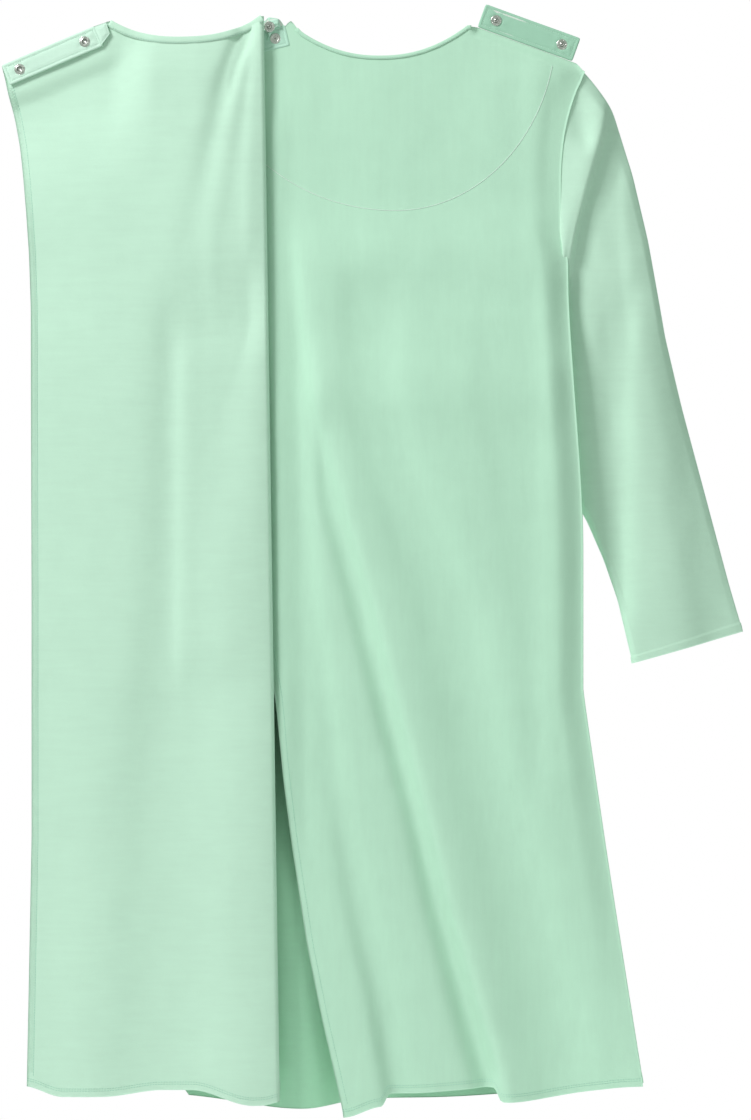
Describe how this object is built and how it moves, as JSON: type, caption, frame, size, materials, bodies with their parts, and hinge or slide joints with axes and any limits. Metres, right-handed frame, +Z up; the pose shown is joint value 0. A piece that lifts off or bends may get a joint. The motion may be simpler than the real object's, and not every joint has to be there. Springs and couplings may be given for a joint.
{
  "type": "patient gown",
  "caption": "Long-sleeved open-back patient gown in knit fabric, two overlapping back panels snapped at the shoulders, one panel unsnapped and folded open.",
  "frame": {"origin": "midway between the neck points, in the plane of the back panels", "axes": "+Z up along the hanging gown, -Y out of the wearer's back, +X towards the wearer's right sleeve"},
  "size_m": [0.7745, 0.0818, 1.1483],
  "materials": {
    "jersey_face": "smooth single jersey, right side",
    "jersey_inside": "matt single jersey, wrong side",
    "trim_fabric": "folded and stitched jersey",
    "interfacing": "stiff non-woven",
    "snap_metal": "nickel plated brass"
  },
  "bodies": {
    "gown": {"front_panel": "jersey_face", "front_neck_binding": "trim_fabric", "inner_back_side": "jersey_face", "inner_facing_side": "jersey_inside", "outer_back_side": "jersey_face"},
    "outer_flap": {"outer_back_flap": "jersey_inside", "outer_neck_binding": "trim_fabric", "flap_strip": "trim_fabric", "flap_strip_interfacing": "interfacing", "flap_sockets": "snap_metal", "flap_socket_springs": "snap_metal", "flap_socket_rings": "snap_metal"},
    "inner_panel": {"inner_back_panel": "jersey_face", "inner_facing_neck": "jersey_inside", "inner_strip": "trim_fabric", "inner_strip_interfacing": "interfacing", "inner_sockets": "snap_metal", "inner_socket_springs": "snap_metal", "inner_socket_rings": "snap_metal"},
    "right_tab": {"right_tab": "trim_fabric", "right_tab_interfacing": "interfacing", "right_studs": "snap_metal", "right_stud_rings": "snap_metal"},
    "left_tab": {"left_tab": "trim_fabric", "left_tab_interfacing": "interfacing", "left_studs": "snap_metal", "left_stud_rings": "snap_metal"},
    "right_sleeve": {"right_sleeve": "jersey_face"},
    "left_sleeve": {"left_sleeve": "jersey_face"}
  },
  "joints": [
    {"name": "outer_flap_fold", "type": "hinge", "parent": "gown", "child": "outer_flap", "pos_m": [-0.1125, -0.012, -0.568], "axis": [-0.0147, 0, 0.9999], "range_deg": [0, 170]},
    {"name": "inner_panel_swing", "type": "hinge", "parent": "gown", "child": "inner_panel", "pos_m": [0.095, -0.0032, 0], "axis": [0, -1, 0], "range_deg": [0, 8]},
    {"name": "right_tab_fold", "type": "hinge", "parent": "gown", "child": "right_tab", "pos_m": [0.1016, 0.0035, 0.0002], "axis": [-0.9397, 0, 0.342], "range_deg": [0, 95]},
    {"name": "left_tab_fold", "type": "hinge", "parent": "gown", "child": "left_tab", "pos_m": [-0.0965, 0.0044, -0.009], "axis": [-0.9397, 0, -0.342], "range_deg": [0, 50]},
    {"name": "right_sleeve_swing", "type": "hinge", "parent": "gown", "child": "right_sleeve", "pos_m": [0.214, 0.013, -0.047], "axis": [0, -1, 0], "range_deg": [0, 40]},
    {"name": "left_sleeve_swing", "type": "hinge", "parent": "gown", "child": "left_sleeve", "pos_m": [-0.214, 0.013, -0.047], "axis": [0, 1, 0], "range_deg": [0, 40]}
  ]
}
